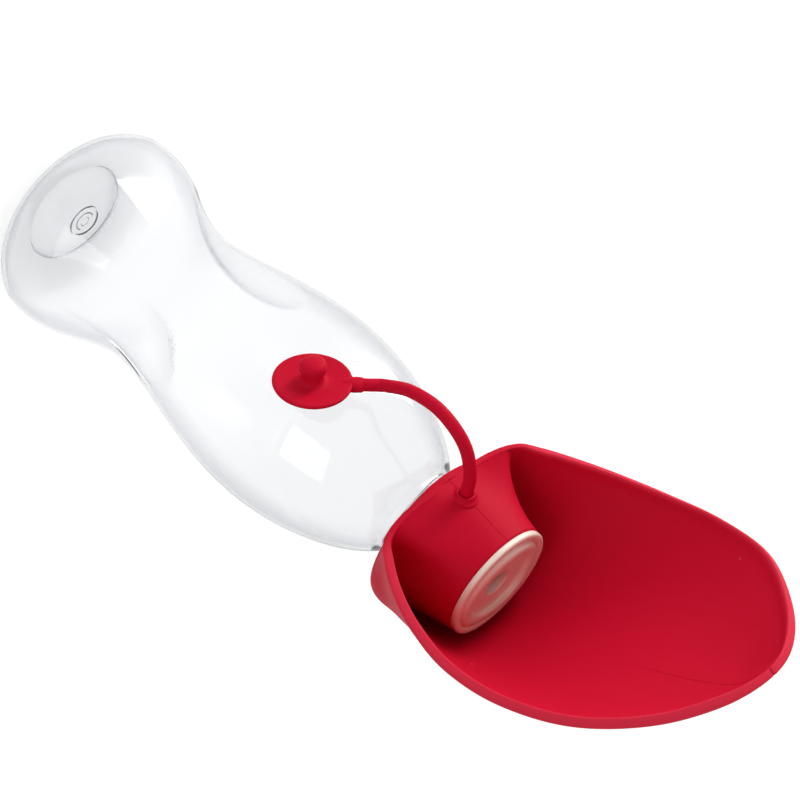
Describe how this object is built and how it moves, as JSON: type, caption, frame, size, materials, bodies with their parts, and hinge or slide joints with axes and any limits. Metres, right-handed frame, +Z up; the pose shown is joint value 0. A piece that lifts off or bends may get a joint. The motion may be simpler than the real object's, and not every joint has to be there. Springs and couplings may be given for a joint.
{
  "type": "dog travel water bottle",
  "caption": "Squeeze water bottle with a screw cap, a one-way flow valve, a soft leaf-shaped drinking bowl held on the cap by a sleeve, and a tethered stopper for the outlet.",
  "frame": {"origin": "centre of the base ring that the bottle stands on, on the bottle's axis", "axes": "+Z up along the bottle's axis; the bowl's hollow faces -Y and its mid plane is x = 0"},
  "size_m": [0.1008, 0.0885, 0.2858],
  "materials": {
    "clear_bottle": "clear, slightly flexible squeeze plastic with a polished surface",
    "cap_plastic": "cream moulded plastic, satin",
    "gasket_rubber": "off-white soft sealing rubber",
    "valve_rubber": "translucent pinkish soft rubber",
    "red_silicone": "matte red silicone rubber"
  },
  "bodies": {
    "bottle_body": {"bottle": "clear_bottle", "bottle_neck": "clear_bottle"},
    "cap_lift_carrier": {"neck_gasket": "gasket_rubber"},
    "cap_and_bowl": {"screw_cap": "cap_plastic", "flow_valve": "valve_rubber", "valve_retainer": "cap_plastic", "bowl": "red_silicone", "sleeve": "red_silicone", "strap_anchor": "red_silicone"},
    "strap_link": {"strap": "red_silicone"},
    "stopper_body": {"stopper": "red_silicone"}
  },
  "joints": [
    {"name": "cap_lift", "type": "slide", "parent": "bottle_body", "child": "cap_lift_carrier", "axis": [0, 0, 1], "range_m": [0, 0.006]},
    {"name": "cap_turn", "type": "hinge", "parent": "cap_lift_carrier", "child": "cap_and_bowl", "pos_m": [0, 0, 0.1935], "axis": [0, 0, 1], "range_deg": [0, 540]},
    {"name": "strap_swing", "type": "hinge", "parent": "cap_and_bowl", "child": "strap_link", "pos_m": [0, -0.03241, 0.18649], "axis": [-0.9901, -0.1396, 0.0103], "range_deg": [0, 104.8], "deforming": ["strap"]},
    {"name": "stopper_turn", "type": "hinge", "parent": "strap_link", "child": "stopper_body", "pos_m": [-0.00015, -0.0444, 0.17082], "axis": [-0.9942, -0.0428, -0.0986], "range_deg": [0, 172.2], "deforming": ["strap"]}
  ],
  "couplings": [
    {"joint": "cap_lift", "follows": "cap_turn", "m_per_rad": 0.00063662},
    {"joint": "stopper_turn", "follows": "strap_swing", "ratio": 1.6417}
  ]
}
